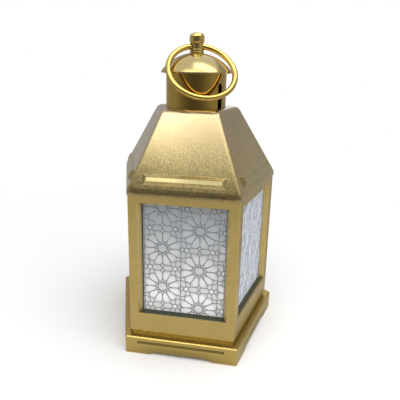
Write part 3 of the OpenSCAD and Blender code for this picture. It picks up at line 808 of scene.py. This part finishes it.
def make_floor():
    """A pale floor that takes the shadow near the lantern and is plain white further out."""
    material, tree, shader = new_material("floor")
    values = {"Base Color": FLOOR_COLOUR, "Roughness": FLOOR_ROUGH, "Specular IOR Level": 0}
    set_inputs(tree, shader, values)
    distance = length_of(tree, object_coords(tree))
    far = map_range(tree, distance, (SHADOW_R, PLAIN_R), (0, 1), smooth=True)
    plain = math_node(tree, "MULTIPLY", far, seen_directly(tree))
    glow = add_node(tree, "ShaderNodeEmission", {"Color": WHITE})
    surface = mixed_shaders(tree, plain, shader.outputs["BSDF"], glow.outputs["Emission"])
    set_inputs(tree, tree.nodes["Material Output"], {"Surface": surface})
    mesh = bmesh.new()
    bmesh.ops.create_circle(mesh, cap_ends=True, segments=FLOOR_SEGMENTS, radius=FLOOR_R)
    floor = add_object("floor", mesh, [material])


def room_mesh():
    """The table and the wall of the room, one strip of faces after another."""
    mesh = bmesh.new()
    profile = [(TABLE_R, TABLE_Z), (ROOM_R, TABLE_Z), (ROOM_R, ROOM_HIGH)]
    rows = []
    for i in range(ROOM_STEPS + 1):
        turn = math.radians(90 + ROOM_GAP + (360 - 2 * ROOM_GAP) * i / ROOM_STEPS)
        row = [(radius * math.cos(turn), radius * math.sin(turn), z) for radius, z in profile]
        x, y, top = row[-1]
        row[-1] = (x, y, top + ROOM_RISE * max(0, math.cos(turn)))
        rows.append([mesh.verts.new(point) for point in row])
    for before, after in zip(rows, rows[1:]):
        for level in range(len(profile) - 1):
            mesh.faces.new((before[level], after[level], after[level + 1], before[level + 1]))
    return mesh


def room_glow():
    """The room's light: bright on the table near the lantern, with painted shadow at its foot and
    behind it, and dimmer further out and in front.
    """
    material, tree, shader = new_material("room")
    tree.nodes.remove(shader)
    place = object_coords(tree, 1 / ROOM_R)
    along_y = axes(tree, place)["Y"]
    radius = length_of(tree, place)
    near = map_range(tree, radius, TABLE_RADII, (1, 0), smooth=True)
    # The table is darker at the lantern's foot and behind the lantern: painted shadow
    foot = map_range(tree, radius, TABLE_FOOT_SHADOW_RADII, TABLE_FOOT_SHADOW_PARTS)
    table = math_node(tree, "MULTIPLY", foot, map_range(tree, along_y, TABLE_Y, TABLE_LIT_AND_SHADED_TONES))
    wall = map_range(tree, along_y, WALL_Y, WALL_TONES)
    tone = mixed(tree, near, wall, table, kind="FLOAT")
    glow = add_node(tree, "ShaderNodeEmission", {"Color": ROOM_TINT, "Strength": tone})
    set_inputs(tree, tree.nodes["Material Output"], {"Surface": glow.outputs["Emission"]})
    return material


def make_room():
    """The dim room round the camera and to both sides, open behind the lantern.

    Only reflections show it, so the metal has dark bands and the background stays white.
    """
    room = add_object("room", room_mesh(), [room_glow()])
    room.visible_camera = False
    room.visible_diffuse = False
    room.visible_shadow = False
    room.visible_transmission = False


# Light and camera

SKY_STRENGTH = 0.6
LIGHT_TARGET = (0, 0, 0.07)

# Lights by name: place, width and height, power in watts
LIGHTS = {
    "softbox": ((-0.05, -0.45, 0.85), (0.9, 0.52), 3.1),
    "top_box": ((0.28, 0.02, 0.94), (0.36, 0.76), 2.5),
    "side_box": ((0.43, -0.23, 0.42), (0.4, 0.6), 0.95),
    "left_box": ((-0.19, -0.42, 0.54), (0.2, 0.16), 0.17),
}

# The photograph's frame and the camera fitted to it, in pixels, millimetres and degrees
IMAGE_PX = 400
FOCAL_PX = 388.32
CENTRE_PX = (187.43, 162.83)
SENSOR_MM = 36
CAMERA_TURN = 8.16
CAMERA_REACH = 138.7
CAMERA_HEIGHT = 99.3
VIEW_TURN = 9.27
VIEW_DROP = 14.69
VIEW_ROLL = 0.847
NEAREST_SEEN = 0.01


def make_light(name, place, size, power):
    """A rectangular lamp that points at the lantern."""
    data = bpy.data.lights.new(name, "AREA")
    data.shape = "RECTANGLE"
    data.size, data.size_y = size
    data.energy = power
    lamp = bpy.data.objects.new(name, data)
    lamp.location = place
    aim = Vector(LIGHT_TARGET) - Vector(place)
    lamp.rotation_euler = aim.to_track_quat("-Z", "Y").to_euler()
    bpy.context.scene.collection.objects.link(lamp)


def make_world():
    """Even grey light, with a white background wherever it is seen directly."""
    world = bpy.data.worlds.new("studio")
    bpy.context.scene.world = world
    world.use_nodes = True
    tree = world.node_tree
    light = tree.nodes["Background"]
    set_inputs(tree, light, {"Color": WHITE, "Strength": SKY_STRENGTH})
    plain = add_node(tree, "ShaderNodeBackground", {"Color": WHITE})
    direct = seen_directly(tree)
    surface = mixed_shaders(tree, direct, light.outputs["Background"], plain.outputs["Background"])
    set_inputs(tree, tree.nodes["World Output"], {"Surface": surface})


def view_turning():
    """The way the camera looks, as a matrix."""
    turn, drop = math.radians(VIEW_TURN), math.radians(VIEW_DROP)
    ahead = math.cos(drop)
    forward = Vector((-math.sin(turn) * ahead, math.cos(turn) * ahead, -math.sin(drop)))
    level = forward.to_track_quat("-Z", "Y").to_matrix()
    return (level @ Matrix.Rotation(math.radians(VIEW_ROLL), 3, "Z")).to_4x4()


def make_camera():
    """The camera that the photograph's own lines give."""
    data = bpy.data.cameras.new("camera")
    data.sensor_width = SENSOR_MM
    data.lens = FOCAL_PX / IMAGE_PX * SENSOR_MM
    data.shift_x = 0.5 - CENTRE_PX[0] / IMAGE_PX
    data.shift_y = CENTRE_PX[1] / IMAGE_PX - 0.5
    data.clip_start = NEAREST_SEEN
    camera = bpy.data.objects.new("camera", data)
    camera.matrix_world = view_turning()
    at = math.radians(CAMERA_TURN)
    camera.location = Vector((math.sin(at), -math.cos(at), 0)) * CAMERA_REACH * MM
    camera.location.z = CAMERA_HEIGHT * MM
    bpy.context.scene.collection.objects.link(camera)
    bpy.context.scene.camera = camera


make_floor()
make_room()
make_world()
for name, (place, size, power) in LIGHTS.items():
    make_light(name, place, size, power)
make_camera()
bpy.context.scene.view_settings.view_transform = "Standard"
